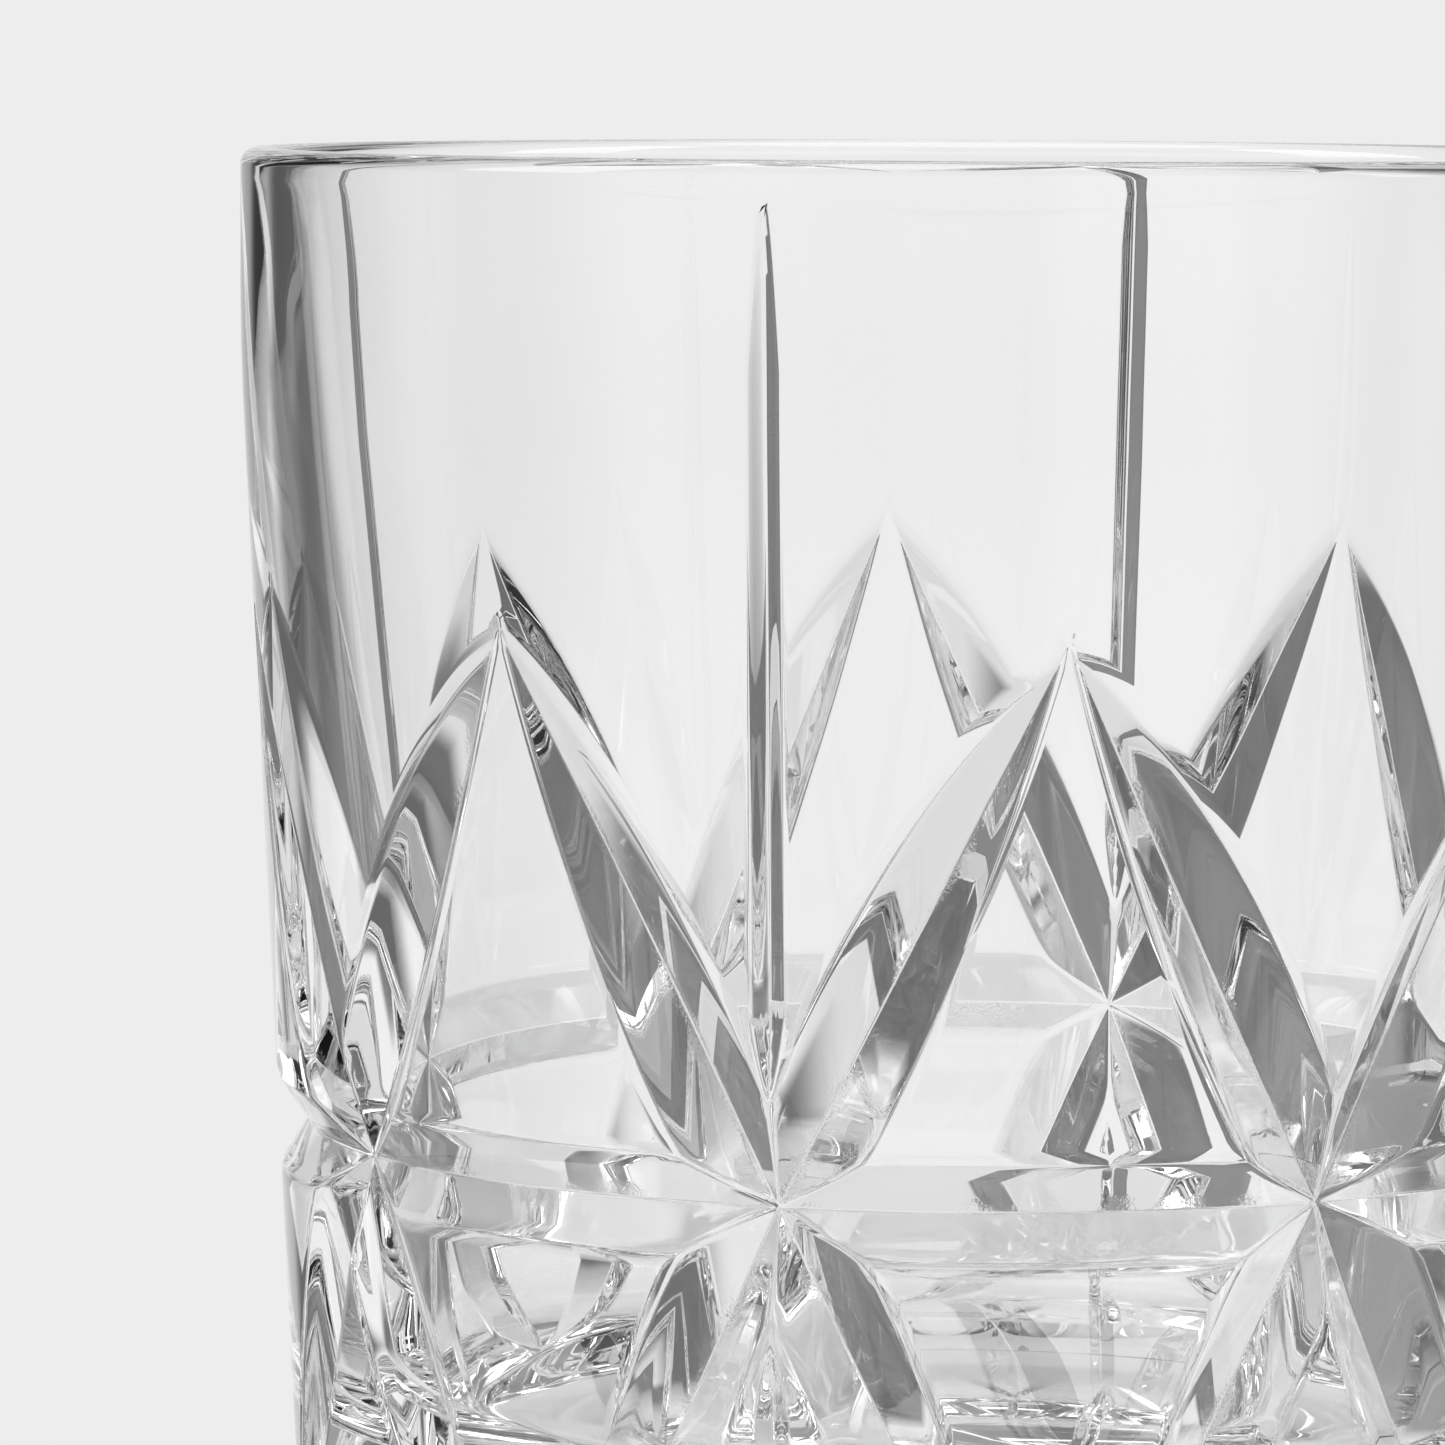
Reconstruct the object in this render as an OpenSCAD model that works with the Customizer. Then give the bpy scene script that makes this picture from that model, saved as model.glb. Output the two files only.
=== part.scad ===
// Pressed clear-glass whisky tumbler: one solid of glass, with a ring of
// star cuts round the waist and four thin upright flutes.
// Origin: centre of the resting face, on the axis of the glass. +Z up.
// One fluted star faces -Y.

/* [Body] */
// Overall height of the glass
height = 102; // [98:1:112]
// Outer diameter at the rim
rim_d = 82; // [79:1:84]
// Height of the bend where the upright rim band meets the tapered side
bend_z = 90.9; // [88:0.1:93]
// Half height of the soft bend
bend_half = 4.1; // [2:0.1:5]
// Taper of the side below the bend, in millimetres of radius per millimetre of height
taper = 0.0492; // [0.03:0.0002:0.06]
// Rounding of the outer heel
heel_r = 2.6; // [1.5:0.1:4]
// Rounding of the rim's two edges
lip_r = 0.95; // [0.5:0.05:1.1]

/* [Inside] */
// Thickness of the wall just under the rim
rim_wall = 2.35; // [2.3:0.05:3.2]
// Taper of the inner wall under the rim
inner_taper = 0.0903; // [0.08:0.0001:0.1]
// Extra taper of the inner wall towards the floor, per millimetre of depth
inner_curve = 0.00017; // [0.0001:0.00001:0.00025]
// Height of the inner floor, which is the thickness of the base
floor_z = 30.5; // [20:0.5:33]
// Rounding between the inner wall and the floor
floor_r = 5; // [3:0.5:8]

/* [Underside] */
// Outer radius of the shallow hollow under the base
hollow_r = 25; // [20:1:28]
// Depth of the hollow at its middle
hollow_depth = 1.2; // [0.6:0.1:2]

/* [Star cuts] */
// Number of stars round the waist
stars = 8; // [8:1:8]
// Height of the ring of star centres
star_z = 47.35; // [46:0.05:49]
// Radius of the star centres, at the bottom of the cuts
star_r = 37.1; // [36.6:0.05:37.6]
// Height of the upper star points above the centres
arm_up = 28.1; // [24:0.1:30]
// Depth of the lower star points below the centres
arm_down = 28.1; // [24:0.1:30]
// How much shallower than the ring cut the arms reach a star's centre
centre_clear = 0.06; // [0.04:0.01:0.15]
// Angle between an arm's tip and the line midway between two stars
tip_gap = 0.75; // [0.4:0.05:1.2]
// Slope of an arm's cut face on the side towards its own star's upright line
arm_slope_in = 28; // [26:0.5:33]
// Slope of an arm's cut face on the side towards the ring cut
arm_slope_out = 30.5; // [28:0.5:36]
// Slope of the ring cut's upper face, measured from the vertical
ring_slope_up = 35.5; // [30:0.5:38]
// Slope of the ring cut's lower face, measured from the vertical
ring_slope_down = 33; // [30:0.5:38]

/* [Flutes] */
// Number of upright flutes, one on every second star
flutes = 4; // [4:4:4]
// Depth of a flute
flute_depth = 0.5; // [0.3:0.05:0.8]
// Width of a flute at the surface
flute_w = 1.7; // [1.2:0.1:2.4]
// Height where an upper flute starts to fade in under the rim
flute_top = 99.2; // [98:0.1:100]
// Height over which it fades in
flute_fade = 7.7; // [5:0.1:9]
// Height where an upper flute ends above a star
flute_mid_up = 53.6; // [52:0.1:56]
// Height where a lower flute starts below a star
flute_mid_down = 39.8; // [38:0.1:42]
// Height where a lower flute ends above the heel
flute_bottom = 7; // [5:0.5:12]

/* [Hidden] */
$fn = 96;
rim_r = rim_d / 2;
bend_low = bend_z - bend_half;
bend_high = bend_z + bend_half;
step = 360 / stars;

// Radius of the plain outer surface at height z
function outer_r(z) =
    z > bend_high ? rim_r :
    z < bend_low ? rim_r - taper * (bend_z - z) :
    rim_r - taper / (4 * bend_half) * pow(bend_high - z, 2);

// Radius of the inner wall at height z
function inner_r(z) =
    rim_r - rim_wall - inner_taper * (height - z)
    - inner_curve * pow(height - z, 2);

// Points of a circular arc about (x, z)
function arc(x, z, r, a0, a1, n) =
    [for (i = [0:n]) let (a = a0 + (a1 - a0) * i / n) [x + r * cos(a), z + r * sin(a)]];

floor_wall_r = inner_r(floor_z + floor_r);

// Heights where the ring cut's two faces meet the tapered side
side_0 = rim_r - taper * bend_z;
ring_top = (side_0 - star_r + star_z * tan(ring_slope_up)) / (tan(ring_slope_up) - taper);
ring_low = (star_r + star_z * tan(ring_slope_down) - side_0) / (tan(ring_slope_down) + taper);

// Sphere radius of the shallow hollow under the base
hollow_big = (hollow_r * hollow_r + hollow_depth * hollow_depth) / (2 * hollow_depth);
hollow_a = asin(hollow_r / hollow_big);

// Half section of the glass: hollow and resting ring, heel, outer side with
// the ring cut, rim, inner wall, floor
function section() = concat(
    arc(0, hollow_depth - hollow_big, hollow_big, 90, 90 - hollow_a, 8),
    [for (p = arc(outer_r(heel_r) - heel_r, heel_r, heel_r, -90, 0, 6)) p],
    [[outer_r(ring_low), ring_low], [star_r, star_z], [outer_r(ring_top), ring_top]],
    [for (i = [0:5]) let (z = bend_low + (bend_high - bend_low) * i / 6) [outer_r(z), z]],
    [[rim_r, bend_high]],
    arc(rim_r - lip_r, height - lip_r, lip_r, 0, 90, 6),
    arc(inner_r(height - lip_r) + lip_r, height - lip_r, lip_r, 90, 180, 6),
    [for (i = [1:12]) let (z = height - lip_r - (height - lip_r - floor_z - floor_r) * i / 12) [inner_r(z), z]],
    [for (p = arc(floor_wall_r - floor_r, floor_z + floor_r, floor_r, -8, -90, 8)) p],
    [[0, floor_z]]
);

// Straight V-shaped cut whose valley runs from a to b and on past both.
// Both points are given in a frame turned so that +X is outward.
// slope_l and slope_r are the slopes of its +Y and -Y faces.
module v_cut(a, b, slope_l, slope_r, deep, before, after) {
    d = b - a;
    len = norm(d);
    tilt = asin(d[0] / len);
    lean = atan2(-d[1], d[2]);
    translate(a) rotate([lean, 0, 0]) rotate([0, tilt, 0]) translate([0, 0, -before])
        linear_extrude(height = len + before + after)
            polygon([[0, 0], [deep, deep / tan(slope_l)], [deep, -deep / tan(slope_r)]]);
}

// One arm of a star: from the star's centre to a tip near half a step round.
// up is 1 for an upper arm and -1 for a lower one, side is 1 or -1.
// The arm starts inside the ring cut, so the ring cut trims its end.
module arm_cut(up, side) {
    half = (step / 2 - tip_gap) / 2;
    tip_z = star_z + (up > 0 ? arm_up : -arm_down);
    tip_r = outer_r(tip_z);
    from_r = star_r + centre_clear;
    in_left = up * side < 0;
    rotate([0, 0, side * half])
        v_cut([from_r * cos(half), -side * from_r * sin(half), star_z],
              [tip_r * cos(half), side * tip_r * sin(half), tip_z],
              in_left ? arm_slope_in : arm_slope_out,
              in_left ? arm_slope_out : arm_slope_in, 4, 0, 2);
}

// One stretch of a flute, from z0 to z1, that follows the side and fades
// out over fade0 at its lower end and fade1 at its upper end.
module flute_cut(z0, z1, fade0, fade1) {
    slope = atan(2 * flute_depth / flute_w);
    // radius of the flute's bottom on the straight taper
    function deep_r(z) = rim_r - taper * (bend_z - z) - flute_depth;
    intersection() {
        v_cut([deep_r(z0), 0, z0], [deep_r(z1), 0, z1], slope, slope, 2, 20, 20);
        v_cut([outer_r(z0), 0, z0], [deep_r(z0 + fade0), 0, z0 + fade0], slope, slope, 8, 5, 42);
        v_cut([deep_r(z1 - fade1), 0, z1 - fade1], [outer_r(z1), 0, z1], slope, slope, 8, 42, 5);
    }
}

// One arm of each star, counted from 0 to 4 * stars - 1
module arm(i) {
    rotate([0, 0, -90 + floor(i / 4) * step])
        arm_cut(i % 4 < 2 ? 1 : -1, i % 2 == 0 ? 1 : -1);
}

// The upper and lower flute of one fluted star, counted from 0 to 2 * flutes - 1
module flute(i) {
    rotate([0, 0, -90 + floor(i / 2) * 360 / flutes])
        if (i % 2 == 0) flute_cut(flute_mid_up, flute_top, 4, flute_fade);
        else flute_cut(flute_bottom, flute_mid_down, 6, 3.5);
}

// The cuts are made one after another, as a cutter would
module with_arms(n) {
    if (n == 0) children();
    else difference() {
        with_arms(n - 1) children();
        arm(n - 1);
    }
}

module with_flutes(n) {
    if (n == 0) children();
    else difference() {
        with_flutes(n - 1) children();
        flute(n - 1);
    }
}

module glass_body() {
    color([0.86, 0.89, 0.9, 0.55])
        with_flutes(2 * flutes) with_arms(4 * stars)
            rotate_extrude() polygon(section());
}

glass_body();
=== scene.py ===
import bpy
import math
import numpy as np
from mathutils import Vector, Matrix
from mathutils.geometry import delaunay_2d_cdt


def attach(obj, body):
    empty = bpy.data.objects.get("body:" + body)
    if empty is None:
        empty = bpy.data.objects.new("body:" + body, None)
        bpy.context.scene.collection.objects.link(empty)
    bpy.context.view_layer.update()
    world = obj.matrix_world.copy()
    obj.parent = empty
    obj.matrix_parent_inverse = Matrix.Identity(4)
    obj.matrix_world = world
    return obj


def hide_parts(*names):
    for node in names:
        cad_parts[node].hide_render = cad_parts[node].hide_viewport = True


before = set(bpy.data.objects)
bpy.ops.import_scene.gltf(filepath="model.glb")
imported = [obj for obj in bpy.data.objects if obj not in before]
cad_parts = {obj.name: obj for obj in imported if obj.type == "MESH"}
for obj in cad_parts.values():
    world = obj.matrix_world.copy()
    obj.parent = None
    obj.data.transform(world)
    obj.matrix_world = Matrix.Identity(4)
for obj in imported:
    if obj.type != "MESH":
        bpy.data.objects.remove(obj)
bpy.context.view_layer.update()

# ---------------------------------------------------------------- the tumbler's shape, in millimetres
HEIGHT = 102.0
RIM_R = 41.0
BEND_Z, BEND_HALF, TAPER = 90.9, 4.1, 0.0492
STAR_Z, STAR_R = 47.35, 37.1
STARS = 8
ARM_REACH = 28.9            # height from a star's centre to its arms' tips
TIP_GAP = 0.75              # degrees between a tip and the line midway between two stars
SLOPE_IN, SLOPE_OUT = 32.5, 37.0
SAG = 0.42                  # the arm's valley bows this far into the glass
RING_UP, RING_DOWN = 35.5, 33.0
FLUTE_DEPTH, FLUTE_W = 0.62, 1.75
LIP_R, RIM_WALL = 0.95, 2.35
FLOOR_Z, FLOOR_R = 30.5, 5.0
HEEL_R = 2.6
HOLLOW_R, HOLLOW_DEPTH = 25.0, 1.2
SEG = 384                   # points round the plain parts
Z_LOW, Z_HIGH = 5.0, 99.8   # the cut band lies between these heights
U_SCALE = 39.0              # radius used to lay the surface out flat
HALF = math.pi / STARS


def tand(a):
    return math.tan(math.radians(a))


def smin(a, b, k):
    h = np.maximum(k - np.abs(a - b), 0.0) / k
    return np.minimum(a, b) - h * h * k * 0.25


def smax(a, b, k):
    return -smin(-a, -b, k)


def melt(a, b, tight, broad):
    """A fire-polished edge: a tight rounding on top of a broad roll-off."""
    return 0.45 * smin(a, b, tight) + 0.55 * smin(a, b, broad)


def body_r(z):
    z = np.asarray(z, float)
    lo, hi = BEND_Z - BEND_HALF, BEND_Z + BEND_HALF
    return np.where(z > hi, RIM_R, np.where(z < lo, RIM_R - TAPER * (BEND_Z - z),
                    RIM_R - TAPER / (4 * BEND_HALF) * (hi - z) ** 2))


def inner_r(z):
    d = HEIGHT - np.asarray(z, float)
    return RIM_R - RIM_WALL - 0.0903 * d - 0.00017 * d * d


def on_wall(th, r, z):
    return np.array([r * math.sin(th), -r * math.cos(th), z])


def arm_frame(up):
    tip_z = STAR_Z + up * ARM_REACH
    th = HALF - math.radians(TIP_GAP)
    n0 = on_wall(0.0, STAR_R, STAR_Z)
    tip = on_wall(th, float(body_r(tip_z)), tip_z)
    length = np.linalg.norm(tip - n0)
    e = (tip - n0) / length
    m = th / 2
    out = np.array([math.sin(m), -math.cos(m), 0.0])
    n = out - out.dot(e) * e
    n /= np.linalg.norm(n)
    t = np.cross(e, n)
    if t.dot(np.array([math.cos(m), math.sin(m), 0.0])) > 0:
        t = -t
    return n0, e, n, t, length


ARM = {1: arm_frame(1), -1: arm_frame(-1)}


def arm_faces(th, z, up):
    """The two faces of the arm that leans to +theta from the star at 0, as radii."""
    n0, e, n, t, length = ARM[up]
    sn, cs = np.sin(th), -np.cos(th)
    dn, dt, de = sn * n[0] + cs * n[1], sn * t[0] + cs * t[1], sn * e[0] + cs * e[1]
    hn, ht, he = z * n[2] - n0.dot(n), z * t[2] - n0.dot(t), z * e[2] - n0.dot(e)
    res = []
    for k in (tand(SLOPE_IN), -tand(SLOPE_OUT)):
        den = dn - k * dt
        ok = den > 0.05
        den = np.where(ok, den, 1.0)
        r = (k * ht - hn) / den
        for _ in range(3):
            s = np.clip((r * de + he) / length, -0.2, 1.3)
            r = (-SAG * 4 * s * (1 - s) + k * ht - hn) / den
        res.append(np.where(ok, r, 99.0))
    return res


def arm_r(th, z, up):
    a, b = arm_faces(th, z, up)
    v = smax(a, b, 0.10)
    return np.maximum(v, STAR_R + (STAR_Z - z) * up * tand(60.0))


def ring_r(z):
    return STAR_R + smax((z - STAR_Z) * tand(RING_UP), (STAR_Z - z) * tand(RING_DOWN), 0.10)


def flute_deep(z, up):
    if up > 0:
        return FLUTE_DEPTH * np.clip((100.5 - z) / 9.3, 0, 1) ** 0.60 * np.clip((z - 53.2) / 4.5, 0, 1) ** 0.7
    return FLUTE_DEPTH * np.clip((39.8 - z) / 3.5, 0, 1) ** 0.7 * np.clip((z - 7.0) / 6.0, 0, 1)


def flute_r(th, z, up):
    b = body_r(z)
    x = b * np.abs(np.sin(th))
    deep = flute_deep(z, up)
    v = (b - deep) + np.sqrt(x * x + 0.06 ** 2) * (2 * FLUTE_DEPTH / FLUTE_W) - 0.035
    return np.where(deep > 1e-4, v, 99.0)


def parts(th, z, fluted):
    """Every surface that may be the outermost cut at (theta, z), as radii."""
    zz = z + 0.0 * th
    fs = [("body", body_r(zz)), ("ring", ring_r(zz))]
    for up in (1, -1):
        fs.append(("own%d" % up, arm_r(th, zz, up)))
        fs.append(("twin%d" % up, arm_r(-th, zz, up)))
        fs.append(("next%d" % up, arm_r(2 * HALF - th, zz, up)))
        if fluted:
            fs.append(("flute%d" % up, flute_r(th, zz, up)))
    return fs


def surface(th, z, fluted):
    f = dict(parts(th, z, fluted))
    out = None
    for up in (1, -1):
        k = 0.22 + 0.5 * np.clip((np.abs(z - STAR_Z) - 1.0) / 5.5, 0, 1)
        a = smin(f["own%d" % up], f["twin%d" % up], k)
        a = melt(a, f["next%d" % up], 0.10, 0.45)
        out = a if out is None else np.minimum(out, a)
    out = melt(out, f["ring"], 0.10, 0.40)
    out = melt(out, f["body"], 0.10, 0.55)
    if fluted:
        for up in (1, -1):
            out = melt(out, f["flute%d" % up], 0.05, 0.13)
    return out


CASES = {1: [(3, 0)], 2: [(0, 1)], 3: [(3, 1)], 4: [(1, 2)], 5: [(3, 0), (1, 2)], 6: [(0, 2)], 7: [(3, 2)],
         8: [(2, 3)], 9: [(2, 0)], 10: [(0, 1), (2, 3)], 11: [(2, 1)], 12: [(1, 3)], 13: [(1, 0)], 14: [(0, 3)]}


def level_lines(f, level, us, zs):
    """Lines where the grid f[z, u] crosses a level, by marching squares."""
    nz, nu = f.shape
    bad = ~np.isfinite(f)
    g = np.where(bad, 0.0, f) - level
    g = np.where(g == 0.0, 1e-9, g)
    pos = (g > 0).astype(int)
    case = pos[:-1, :-1] + 2 * pos[:-1, 1:] + 4 * pos[1:, 1:] + 8 * pos[1:, :-1]
    hole = bad[:-1, :-1] | bad[:-1, 1:] | bad[1:, 1:] | bad[1:, :-1]
    case = np.where(hole, 0, case)
    links = {}
    for c, segs in CASES.items():
        ii, jj = np.nonzero(case == c)
        if not len(ii):
            continue
        edge = {0: ii * nu + jj, 2: (ii + 1) * nu + jj, 3: nz * nu + ii * nu + jj, 1: nz * nu + ii * nu + jj + 1}
        for a, b in segs:
            for p, q in zip(edge[a].tolist(), edge[b].tolist()):
                links.setdefault(p, []).append(q)
                links.setdefault(q, []).append(p)

    def place(k):
        if k < nz * nu:
            i, j = divmod(k, nu)
            a, b = g[i, j], g[i, j + 1]
            w = a / (a - b)
            return (us[j] + w * (us[j + 1] - us[j]), zs[i])
        i, j = divmod(k - nz * nu, nu)
        a, b = g[i, j], g[i + 1, j]
        w = a / (a - b)
        return (us[j], zs[i] + w * (zs[i + 1] - zs[i]))

    used, lines = set(), []
    starts = [k for k, v in links.items() if len(v) == 1] + list(links)
    for s in starts:
        if s in used:
            continue
        line, cur = [s], s
        used.add(s)
        while True:
            nxt = [q for q in links[cur] if q not in used]
            if not nxt:
                break
            cur = nxt[0]
            used.add(cur)
            line.append(cur)
        closed = len(line) > 3 and line[0] in links[line[-1]]
        pts = [place(k) for k in line]
        if closed:
            pts.append(pts[0])
        if len(pts) > 3:
            lines.append(np.array(pts))
    return lines


def thin(line, tol):
    """Douglas-Peucker."""
    keep = np.zeros(len(line), bool)
    keep[0] = keep[-1] = True
    stack = [(0, len(line) - 1)]
    if np.hypot(*(line[0] - line[-1])) < 1e-9:
        m = len(line) // 2
        keep[m] = True
        stack = [(0, m), (m, len(line) - 1)]
    while stack:
        a, b = stack.pop()
        if b - a < 2:
            continue
        p, q = line[a], line[b]
        d = q - p
        n = math.hypot(*d)
        w = line[a + 1:b] - p
        dist = np.abs(w[:, 0] * d[1] - w[:, 1] * d[0]) / n if n > 1e-9 else np.hypot(w[:, 0], w[:, 1])
        i = int(dist.argmax())
        if dist[i] > tol:
            i += a + 1
            keep[i] = True
            stack += [(a, i), (i, b)]
    return line[keep]


def spread(line, most):
    out = [line[0]]
    for a, b in zip(line[:-1], line[1:]):
        n = max(1, int(math.ceil(np.hypot(*(b - a)) / most)))
        for i in range(1, n + 1):
            out.append(a + (b - a) * i / n)
    return np.array(out)


def half_sector(fluted):
    """One half of a star's share of the wall, as triangles over (theta, z)."""
    um = U_SCALE * HALF
    nu, nz = 181, 1121
    us, zs = np.linspace(0, um, nu), np.linspace(Z_LOW, Z_HIGH, nz)
    uu, zz = np.meshgrid(us, zs)
    th = uu / U_SCALE
    fs = parts(th, zz, fluted)
    names = [n for n, _ in fs]
    f = np.array([v for _, v in fs])
    order = np.sort(f, axis=0)
    low, second = order[0], order[1]
    which = f.argmin(axis=0)
    lines = []
    for i, name in enumerate(names):
        g = np.where(which == i, second - low, low - f[i])
        g = np.clip(g, -1, 3)
        levels = [0.02, 0.06, 0.11, 0.24, 0.4, 0.56]
        if name.startswith(("own", "twin")):
            levels += [0.75]
        for lv in levels:
            lines += level_lines(g, lv, us, zs)
    for up in (1, -1):
        for name, t2 in (("own%d" % up, th), ("twin%d" % up, -th), ("next%d" % up, 2 * HALF - th)):
            i = names.index(name)
            a, b = arm_faces(t2, zz, up)
            v = np.where((which == i) & (second - low > 0.03), a - b, np.nan)
            for lv in (-0.75, -0.4, -0.12, -0.035, 0.035, 0.12, 0.4, 0.75):
                lines += level_lines(v, lv, us, zs)
    i = names.index("ring")
    v = np.where((which == i) & (second - low > 0.03), zz - STAR_Z, np.nan)
    for lv in (-0.09, -0.03, 0.03, 0.09):
        lines += level_lines(v, lv, us, zs)
    pts, edges = [], []

    def add(line):
        base = len(pts)
        pts.extend((float(x), float(y)) for x, y in line)
        edges.extend((base + k, base + k + 1) for k in range(len(line) - 1))

    if fluted:
        for x in (0.07, 0.2, 0.45):
            for a, b in ((13.5, 38.0), (57.0, 97.5)):
                zl = np.arange(a, b, 1.5)
                add(np.stack([np.full(len(zl), x), zl], 1))
    for line in lines:
        if np.hypot(*(line[1:] - line[:-1]).T).sum() < 0.25:
            continue
        add(spread(thin(line, 0.005), 1.5))
    cell_u, cell_z = um / 24, 1.55
    grid = []
    near = second - low
    for a in range(1, 24):
        for b in range(1, int((Z_HIGH - Z_LOW) / cell_z)):
            u, z = a * cell_u, Z_LOW + b * cell_z + (0.5 * cell_z if a % 2 else 0)
            if z > Z_HIGH - 0.6:
                continue
            j, i = int(round(u / (us[1] - us[0]))), int(round((z - Z_LOW) / (zs[1] - zs[0])))
            if near[min(i, nz - 1), min(j, nu - 1)] > 0.28:
                grid.append((u, z))
    pts += grid
    # the border, with every line's end on it
    ends_l = sorted({round(p[1], 6) for p in pts if p[0] < 1e-9})
    ends_r = sorted({round(p[1], 6) for p in pts if p[0] > um - 1e-9})

    def side(x, ends):
        zl = list(ends)
        for z in np.arange(Z_LOW, Z_HIGH + 1e-6, 0.79):
            if all(abs(z - e) > 0.25 for e in ends):
                zl.append(round(float(z), 6))
        zl = sorted(z for z in set(zl) if Z_LOW + 1e-6 < z < Z_HIGH - 1e-6)
        return [(x, Z_LOW)] + [(x, z) for z in zl] + [(x, Z_HIGH)]

    pts = [p for p in pts]
    for ln in (side(0.0, ends_l), side(um, ends_r),
               [(um * k / 24, Z_LOW) for k in range(25)], [(um * k / 24, Z_HIGH) for k in range(25)]):
        add(np.array(ln))
    cdt = delaunay_2d_cdt([Vector(p) for p in pts], edges, [], 0, 1e-5)
    v = np.array([(p[0], p[1]) for p in cdt[0]])
    tri = np.array([list(t) for t in cdt[2]], int)
    a, b, c = v[tri[:, 0]], v[tri[:, 1]], v[tri[:, 2]]
    area = (b[:, 0] - a[:, 0]) * (c[:, 1] - a[:, 1]) - (b[:, 1] - a[:, 1]) * (c[:, 0] - a[:, 0])
    tri = np.where((area < 0)[:, None], tri[:, ::-1], tri)
    on_left, on_right = v[:, 0] < 1e-4, v[:, 0] > um - 1e-4
    v[on_left, 0] = 0.0
    v[on_right, 0] = um
    v[np.abs(v[:, 1] - Z_LOW) < 1e-4, 1] = Z_LOW
    v[np.abs(v[:, 1] - Z_HIGH) < 1e-4, 1] = Z_HIGH
    th = v[:, 0] / U_SCALE
    r = surface(th, v[:, 1], fluted)
    h = 0.004
    du = (surface(th + h / 40, v[:, 1], fluted) - surface(th - h / 40, v[:, 1], fluted)) / (2 * h / 40)
    dz = (surface(th, v[:, 1] + h, fluted) - surface(th, v[:, 1] - h, fluted)) / (2 * h)
    ia = np.clip(np.round(v[:, 0] / (us[1] - us[0])).astype(int), 0, nu - 1)
    iz = np.clip(np.round((v[:, 1] - Z_LOW) / (zs[1] - zs[0])).astype(int), 0, nz - 1)
    cut = np.zeros(len(th))
    for up in (1, -1):
        for name, t2 in (("own%d" % up, th), ("twin%d" % up, -th), ("next%d" % up, 2 * HALF - th)):
            a, b = arm_faces(t2, v[:, 1], up)
            mine = which[iz, ia] == names.index(name)
            cut = np.where(mine, np.exp(-((a - b) / 0.42) ** 2), cut)
    cut = np.where(which[iz, ia] == names.index("ring"), 0.35 * np.exp(-((v[:, 1] - STAR_Z) / 0.5) ** 2), cut)
    return th, v[:, 1], r, du, dz, tri, cut


def lathe_rows():
    """The plain rings from the top of the cut band over the lip, down inside, and from its foot to the middle below."""
    top = [(RIM_R, 100.4)]
    c = RIM_R - LIP_R
    top += [(c + LIP_R * math.cos(a), HEIGHT - LIP_R + LIP_R * math.sin(a)) for a in np.radians(np.linspace(0, 90, 11))]
    ci = RIM_R - RIM_WALL + LIP_R
    top.append(((c + ci) / 2, HEIGHT))
    tilt = math.atan(0.0903)
    top += [(ci + LIP_R * math.cos(a), HEIGHT - LIP_R + LIP_R * math.sin(a))
            for a in np.linspace(math.pi / 2, math.pi + 0.0 * tilt, 11)]
    z_w = 26.4
    for _ in range(20):
        al = math.atan(0.0903 + 0.00034 * (HEIGHT - z_w))
        z_w = FLOOR_Z + FLOOR_R - FLOOR_R * math.sin(al)
    start = float(inner_r(HEIGHT - LIP_R))
    shift = top[-1][0] - start
    zl = list(np.linspace(HEIGHT - LIP_R, z_w, 46))[1:]
    top += [(float(inner_r(z)) + shift * max(0.0, 1 - (HEIGHT - LIP_R - z) / 6.0), z) for z in zl]
    cr, cz = float(inner_r(z_w)) - FLOOR_R * math.cos(al), FLOOR_Z + FLOOR_R
    top += [(cr + FLOOR_R * math.cos(a), cz - FLOOR_R * math.sin(a)) for a in np.linspace(al, math.pi / 2, 25)[1:]]
    top += [(cr * k, FLOOR_Z) for k in (0.85, 0.65, 0.45, 0.3, 0.18, 0.09, 0.03)]
    low = []
    rb = float(body_r(HEEL_R))
    low += [(rb - HEEL_R + HEEL_R * math.cos(a), HEEL_R - HEEL_R * math.sin(a)) for a in np.radians(np.linspace(0, 90, 11))]
    low += [((rb - HEEL_R) * 0.5 + (HOLLOW_R + 0.4) * 0.5, 0.0), (HOLLOW_R + 0.4, 0.0)]
    rr = (HOLLOW_R ** 2 + HOLLOW_DEPTH ** 2) / (2 * HOLLOW_DEPTH)
    for q in (0.985, 0.94, 0.87, 0.78, 0.68, 0.57, 0.46, 0.35, 0.25, 0.16, 0.08, 0.03):
        x = HOLLOW_R * q
        low.append((x, math.sqrt(rr * rr - x * x) - (rr - HOLLOW_DEPTH)))
    return top, low


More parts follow.
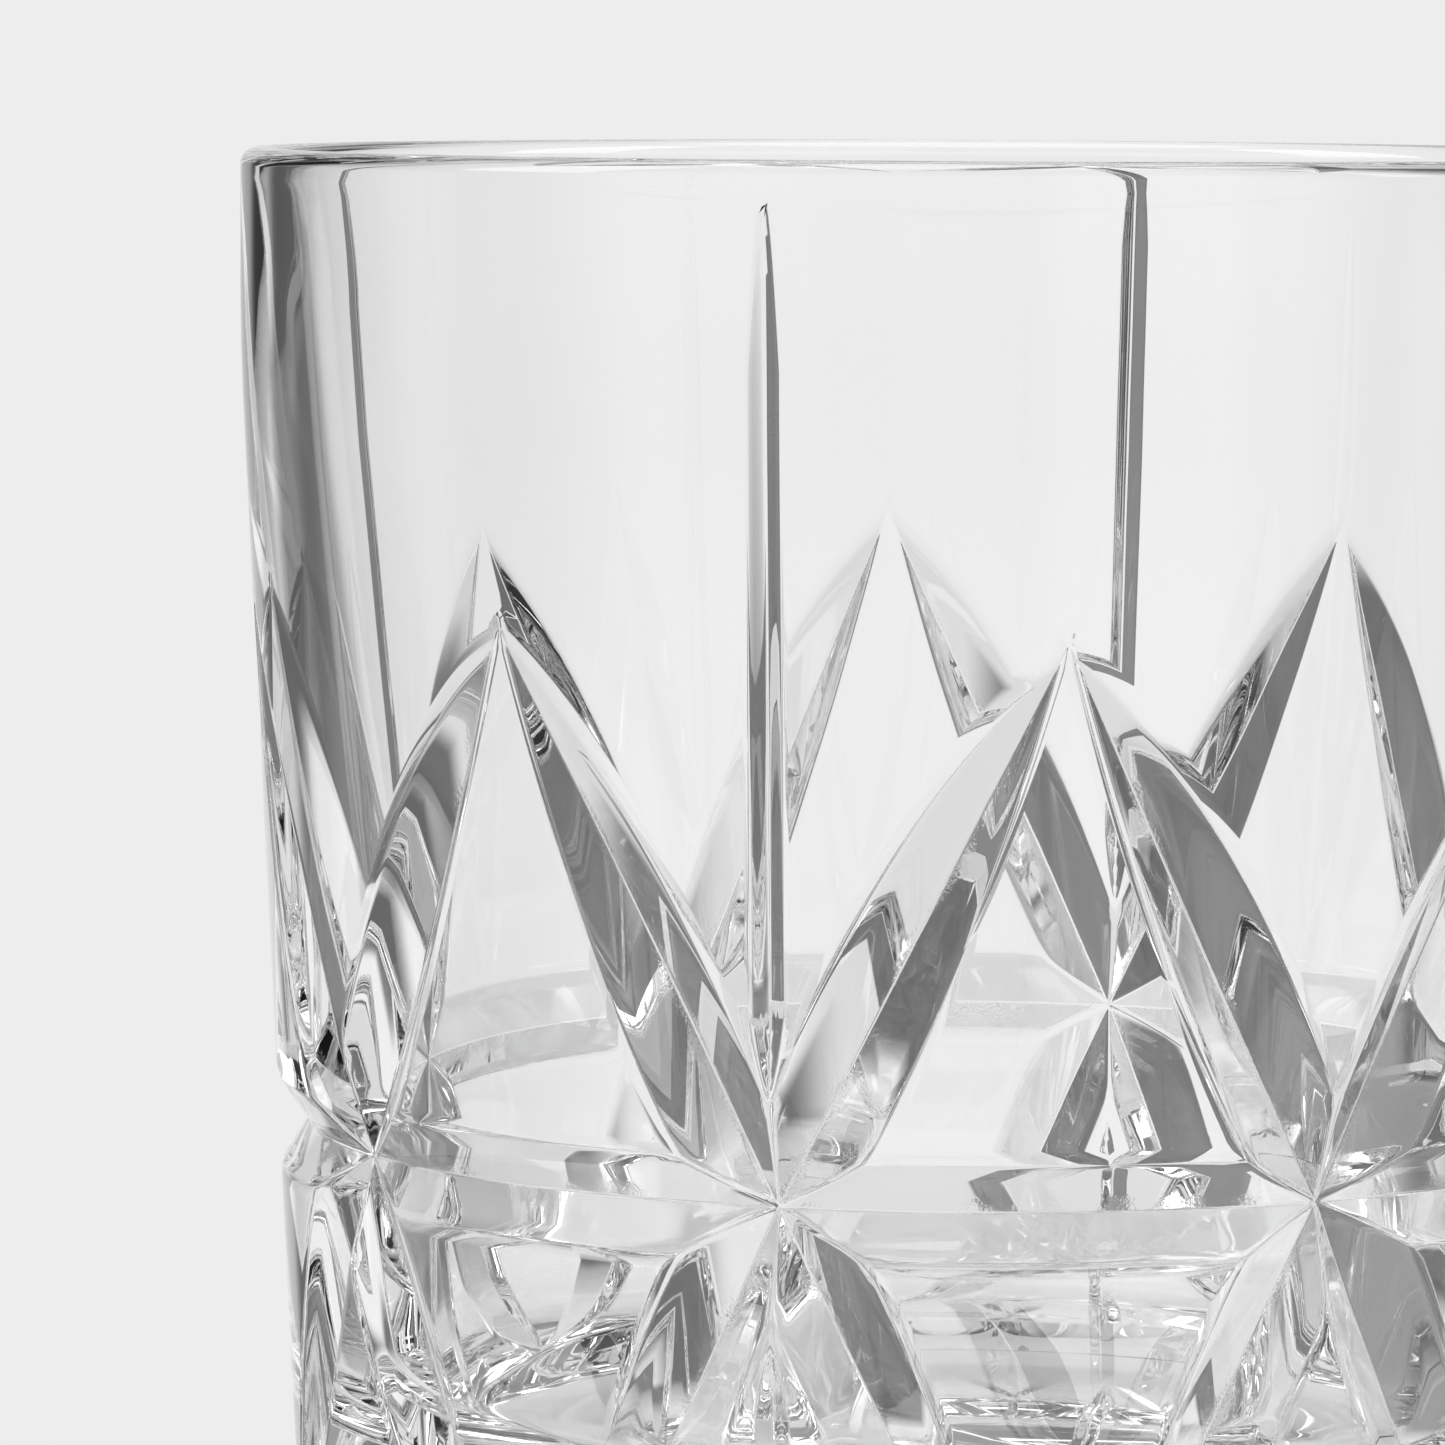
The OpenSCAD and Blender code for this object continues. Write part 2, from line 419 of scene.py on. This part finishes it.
def make_tumbler():
    verts, norms, cuts, faces, key = [], [], [], [], {}

    def vert(k, p, n, c):
        if k is not None and k in key:
            return key[k]
        verts.append(p)
        norms.append(n)
        cuts.append(c)
        if k is not None:
            key[k] = len(verts) - 1
        return len(verts) - 1

    per_half = SEG // (2 * STARS)
    shapes = {True: half_sector(True), False: half_sector(False)}
    for star in range(STARS):
        fluted = star % 2 == 0
        th, z, r, du, dz, tri, cut = shapes[fluted]
        for sgn in (1, -1):
            ang = star * 2 * HALF + sgn * th
            sn, cs = np.sin(ang), -np.cos(ang)
            pos = np.stack([r * sn, r * cs, z], 1)
            # gradient of radius - surface(theta, z)
            tx, ty = np.cos(ang), np.sin(ang)
            nrm = np.stack([sn - sgn * du / r * tx, cs - sgn * du / r * ty, -dz], 1)
            nrm /= np.linalg.norm(nrm, axis=1)[:, None]
            ids = np.zeros(len(th), int)
            for i in range(len(th)):
                k = None
                if th[i] == 0.0:
                    k = ("s", star * 2, round(z[i], 4))
                elif th[i] >= HALF - 1e-9:
                    k = ("s", (star * 2 + sgn) % (2 * STARS), round(z[i], 4))
                if abs(z[i] - Z_LOW) < 1e-6 or abs(z[i] - Z_HIGH) < 1e-6:
                    step = int(round(th[i] / HALF * per_half))
                    k = ("lo" if z[i] < 50 else "hi", (star * 2 * per_half + sgn * step) % SEG)
                ids[i] = vert(k, pos[i], nrm[i], cut[i])
            t = ids[tri]
            # (u, z) counter-clockwise faces out for +theta
            faces.extend((t if sgn > 0 else t[:, ::-1]).tolist())
    top, low = lathe_rows()
    for rows, tag, first in ((top, "hi", (RIM_R, Z_HIGH)), (low, "lo", (float(body_r(Z_LOW)), Z_LOW))):
        prof = [first] + rows
        prev = [key[(tag, i)] for i in range(SEG)]
        up = 1 if tag == "hi" else -1
        for j in range(1, len(prof)):
            a, b = np.array(prof[j - 1]), np.array(prof[min(j + 1, len(prof) - 1)])
            mid = np.array(prof[j])
            d1, d2 = mid - a, b - mid
            l1, l2 = max(np.hypot(*d1), 1e-6), max(np.hypot(*d2), 1e-6)
            d = d1 / l1 * l2 + d2 / l2 * l1 if l2 > 1e-5 else d1
            d /= np.hypot(*d)
            nr, nz_ = up * d[1], -up * d[0]
            cur = []
            for i in range(SEG):
                an = 2 * math.pi * i / SEG
                s, c = math.sin(an), -math.cos(an)
                cur.append(vert(None, (mid[0] * s, mid[0] * c, mid[1]), (nr * s, nr * c, nz_), 0.0))
            for i in range(SEG):
                k = (i + 1) % SEG
                q = [prev[i], prev[k], cur[k], cur[i]]
                faces.append(q if up > 0 else q[::-1])
            prev = cur
        zc = prof[-1][1] if tag == "hi" else HOLLOW_DEPTH
        mid = vert(None, (0.0, 0.0, zc), (0.0, 0.0, 1.0 if tag == "hi" else -1.0), 0.0)
        for i in range(SEG):
            k = (i + 1) % SEG
            q = [prev[i], prev[k], mid]
            faces.append(q if up > 0 else q[::-1])
    v = np.array([tuple(p) for p in verts]) * 0.001
    me = bpy.data.meshes.new("tumbler_glass")
    me.from_pydata(v.tolist(), [], faces)
    me.validate(verbose=False)
    me.polygons.foreach_set("use_smooth", [True] * len(me.polygons))
    att = me.attributes.new("valley", "FLOAT", "POINT")
    att.data.foreach_set("value", np.array(cuts, float))
    me.normals_split_custom_set_from_vertices([tuple(n) for n in norms])
    ob = bpy.data.objects.new("tumbler_glass", me)
    bpy.context.scene.collection.objects.link(ob)
    return ob


tumbler = make_tumbler()
me = tumbler.data
print("TUMBLER faces", len(me.polygons), "verts", len(me.vertices))

# ---------------------------------------------------------------- glass
mat = bpy.data.materials.new("clear_pressed_glass")
mat.use_nodes = True
nt = mat.node_tree
bsdf = nt.nodes["Principled BSDF"]
bsdf.inputs["Base Color"].default_value = (0.997, 1.0, 0.999, 1)
bsdf.inputs["Roughness"].default_value = 0.0
bsdf.inputs["IOR"].default_value = 1.52
bsdf.inputs["Transmission Weight"].default_value = 1.0


def mnode(kind, **vals):
    n = nt.nodes.new(kind)
    for k, x in vals.items():
        n.inputs[k.replace("_", " ")].default_value = x
    return n


# the mould's marks: a broad shallow waviness everywhere, and a fine grain beside the bottoms of the cuts
coord = nt.nodes.new("ShaderNodeTexCoord")
stretch = nt.nodes.new("ShaderNodeMapping")
stretch.inputs["Scale"].default_value = (1.0, 1.0, 0.3)
nt.links.new(coord.outputs["Object"], stretch.inputs["Vector"])
wave = mnode("ShaderNodeTexNoise", Scale=150.0, Detail=1.0, Roughness=0.4)
nt.links.new(stretch.outputs["Vector"], wave.inputs["Vector"])
bump1 = mnode("ShaderNodeBump", Strength=1.0, Distance=0.000012)
nt.links.new(wave.outputs["Fac"], bump1.inputs["Height"])
grain = mnode("ShaderNodeTexNoise", Scale=5200.0, Detail=2.0, Roughness=0.6)
nt.links.new(coord.outputs["Object"], grain.inputs["Vector"])
patchy = mnode("ShaderNodeTexNoise", Scale=420.0, Detail=2.0, Roughness=0.55)
nt.links.new(coord.outputs["Object"], patchy.inputs["Vector"])
where = nt.nodes.new("ShaderNodeAttribute")
where.attribute_name = "valley"
spot = nt.nodes.new("ShaderNodeMapRange")
spot.inputs["From Min"].default_value = 0.42
spot.inputs["From Max"].default_value = 0.62
nt.links.new(patchy.outputs["Fac"], spot.inputs["Value"])
amount = nt.nodes.new("ShaderNodeMath")
amount.operation = "MULTIPLY"
nt.links.new(where.outputs["Fac"], amount.inputs[0])
nt.links.new(spot.outputs["Result"], amount.inputs[1])
bump2 = mnode("ShaderNodeBump", Distance=0.00003)
nt.links.new(amount.outputs[0], bump2.inputs["Strength"])
nt.links.new(grain.outputs["Fac"], bump2.inputs["Height"])
nt.links.new(bump1.outputs["Normal"], bump2.inputs["Normal"])
nt.links.new(bump2.outputs["Normal"], bsdf.inputs["Normal"])
me.materials.append(mat)

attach(tumbler, "root")
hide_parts("glass_body")


# ---------------------------------------------------------------- studio
BACK = 0.847            # the plain pale backdrop
FLOOR_PAINTED_GLOW = 0.32       # painted glow: the floor emits its own light, standing in for light coming up through a white table; it lifts the glass's shadow on the floor and lights the glass from below


def stage_floor():
    bpy.ops.mesh.primitive_circle_add(vertices=96, radius=0.2, fill_type="NGON", location=(0, 0, -0.0002))
    ob = bpy.context.active_object
    ob.name = "studio_floor"
    m = bpy.data.materials.new("studio_floor")
    m.use_nodes = True
    t = m.node_tree
    b = t.nodes["Principled BSDF"]
    b.inputs["Base Color"].default_value = (0.8, 0.8, 0.8, 1)
    b.inputs["Roughness"].default_value = 0.9
    b.inputs["Specular IOR Level"].default_value = 0.0
    b.inputs["Emission Color"].default_value = (1, 1, 1, 1)
    # painted glow: a uniform emission on the floor, standing in for light coming up through a white table
    b.inputs["Emission Strength"].default_value = FLOOR_PAINTED_GLOW
    geo = t.nodes.new("ShaderNodeNewGeometry")
    ln = t.nodes.new("ShaderNodeVectorMath")
    ln.operation = "LENGTH"
    t.links.new(geo.outputs["Position"], ln.inputs[0])
    mr = t.nodes.new("ShaderNodeMapRange")
    mr.interpolation_type = "SMOOTHSTEP"
    mr.inputs["From Min"].default_value = 0.05
    mr.inputs["From Max"].default_value = 0.13
    t.links.new(ln.outputs["Value"], mr.inputs["Value"])
    tr = t.nodes.new("ShaderNodeBsdfTransparent")
    mx = t.nodes.new("ShaderNodeMixShader")
    t.links.new(mr.outputs["Result"], mx.inputs["Fac"])
    t.links.new(b.outputs["BSDF"], mx.inputs[1])
    t.links.new(tr.outputs["BSDF"], mx.inputs[2])
    t.links.new(mx.outputs["Shader"], t.nodes["Material Output"].inputs["Surface"])
    ob.data.materials.append(m)
    return ob


stage_floor()

w = bpy.data.worlds.new("studio")
bpy.context.scene.world = w
w.use_nodes = True
w.cycles.sampling_method = "NONE"
wt = w.node_tree
for nd in list(wt.nodes):
    wt.nodes.remove(nd)
N = wt.nodes.new
out = N("ShaderNodeOutputWorld")
tc = N("ShaderNodeTexCoord")


def math_node(op, a, b=None, c=None, clamp=False):
    n = N("ShaderNodeMath")
    n.operation = op
    n.use_clamp = clamp
    for i, x in enumerate((a, b, c)):
        if x is None:
            continue
        if isinstance(x, (int, float)):
            n.inputs[i].default_value = x
        else:
            wt.links.new(x, n.inputs[i])
    return n.outputs[0]


def step(x, a, b):
    n = N("ShaderNodeMapRange")
    n.interpolation_type = "SMOOTHSTEP"
    n.inputs["From Min"].default_value = a
    n.inputs["From Max"].default_value = b
    wt.links.new(x, n.inputs["Value"])
    return n.outputs["Result"]


sep = N("ShaderNodeSeparateXYZ")
wt.links.new(tc.outputs["Generated"], sep.inputs[0])
X, Y, Z = sep.outputs
el = math_node("MULTIPLY", math_node("ARCSINE", Z), 180 / math.pi)


def bearing(az):
    """Signed angle in degrees of the direction's compass bearing past az (0 is -Y, growing toward +X)."""
    a = math.radians(az)
    along = math_node("ADD", math_node("MULTIPLY", X, math.sin(a)), math_node("MULTIPLY", Y, -math.cos(a)))
    across = math_node("ADD", math_node("MULTIPLY", X, math.cos(a)), math_node("MULTIPLY", Y, math.sin(a)))
    return math_node("MULTIPLY", math_node("ARCTAN2", across, along), 180 / math.pi)


def window(x, a0, a1, b0, b1):
    """Rises from a0 to a1, falls from b0 to b1."""
    return math_node("MULTIPLY", step(x, a0, a1), math_node("SUBTRACT", 1.0, step(x, b0, b1)))


def patch(az, side, height):
    """1 inside a soft-edged panel, 0 outside."""
    return math_node("MULTIPLY", window(bearing(az), *side), window(el, *height))


def blend(base, value, mask):
    """base + (value - base) * mask"""
    return math_node("ADD", base, math_node("MULTIPLY", math_node("SUBTRACT", value, base), mask))


lum = math_node("ADD", 0.13, 0.0)
lum = blend(lum, 0.18, patch(160, (-30, -14, 12, 17), (-12, -7, 16, 30)))
lum = blend(lum, 0.32, patch(130, (-28, -16, 10, 22), (-45, -32, 6, 14)))
lum = blend(lum, 0.29, patch(325, (-28, -18, 18, 30), (-56, -46, -20, -12)))
lum = blend(lum, 0.40, patch(229, (-12, -7, 9, 17), (-38, -31, -21, -16)))
lum = blend(lum, 0.80, patch(185, (-60, -40, 34, 52), (-62, -50, -36, -30)))
lum = blend(lum, 1.6, patch(200, (-60, -40, 40, 60), (-95, -92, -62, -54)))
tone = blend(0.90, 0.74, step(el, -8.0, 0.0))
lum = blend(lum, 0.10, patch(174, (-14, -8, 8, 12), (-32, -29, -19, -15)))
lum = blend(lum, tone, patch(201, (-23, -19, 16.5, 23), (-16, -12, 50, 62)))
lum = blend(lum, tone, patch(201, (-17, -12, 14, 20), (-60, -50, -14, -10)))
lum = blend(lum, 0.74, patch(190, (-28, -18, 18, 28), (9, 16, 50, 62)))
lum = blend(lum, 0.80, patch(270, (-22, -13, 13, 22), (-14, -9, 6, 14)))
lum = blend(lum, 0.80, patch(45, (-20, -12, 12, 20), (-40, -28, 2, 12)))
lum = blend(lum, 0.75, patch(15, (-80, -60, 60, 80), (-20, -10, 25, 35)))
lum = blend(lum, 3.2, patch(300, (-14, -11, 11, 14), (14, 18, 55, 62)))
lum = blend(lum, 3.2, patch(95, (-14, -11, 11, 14), (14, 18, 55, 62)))
lum = blend(lum, 2.0, step(el, 62.0, 70.0))

lp = N("ShaderNodeLightPath")
# diffuse rays see a level light that, with the floor's painted glow, keeps the floor at the backdrop's brightness
lum = blend(lum, (BACK - FLOOR_PAINTED_GLOW) / 0.8, lp.outputs["Is Diffuse Ray"])
lum = blend(lum, BACK, lp.outputs["Is Camera Ray"])
comb = N("ShaderNodeCombineColor")
for i in range(3):
    wt.links.new(lum, comb.inputs[i])
bg = N("ShaderNodeBackground")
wt.links.new(comb.outputs[0], bg.inputs["Color"])
wt.links.new(bg.outputs[0], out.inputs["Surface"])

# ---------------------------------------------------------------- camera
CAM_AZ = 15.03
D, CAM_Z = 437.2, 108.47
YAW, PITCH, ROLL = -0.0316, 0.0887, 0.005
rot = Matrix.Rotation(math.radians(CAM_AZ), 3, "Z")
fwd = Vector((math.sin(YAW) * math.cos(PITCH), math.cos(YAW) * math.cos(PITCH), -math.sin(PITCH)))
right = Vector((math.cos(YAW), -math.sin(YAW), 0))
up = right.cross(fwd)
right2 = right * math.cos(ROLL) + up * math.sin(ROLL)
up2 = -right * math.sin(ROLL) + up * math.cos(ROLL)
fwd, right2, up2 = rot @ fwd, rot @ right2, rot @ up2
pos = rot @ Vector((0, -D, CAM_Z))
cam = bpy.data.cameras.new("camera")
cam.sensor_width = 36.0
cam.lens = 7754.8 * 36.0 / 1445.0
cam.clip_start, cam.clip_end = 0.01, 20.0
co = bpy.data.objects.new("camera", cam)
bpy.context.scene.collection.objects.link(co)
mw = Matrix((right2, up2, -fwd)).transposed().to_4x4()
mw.translation = pos * 0.001
co.matrix_world = mw
bpy.context.scene.camera = co

sc = bpy.context.scene
sc.view_settings.view_transform = "Standard"
sc.view_settings.look = "None"
sc.cycles.max_bounces = 24
sc.cycles.transmission_bounces = 24
sc.cycles.glossy_bounces = 12
sc.cycles.transparent_max_bounces = 16
sc.cycles.caustics_reflective = True
sc.cycles.caustics_refractive = True
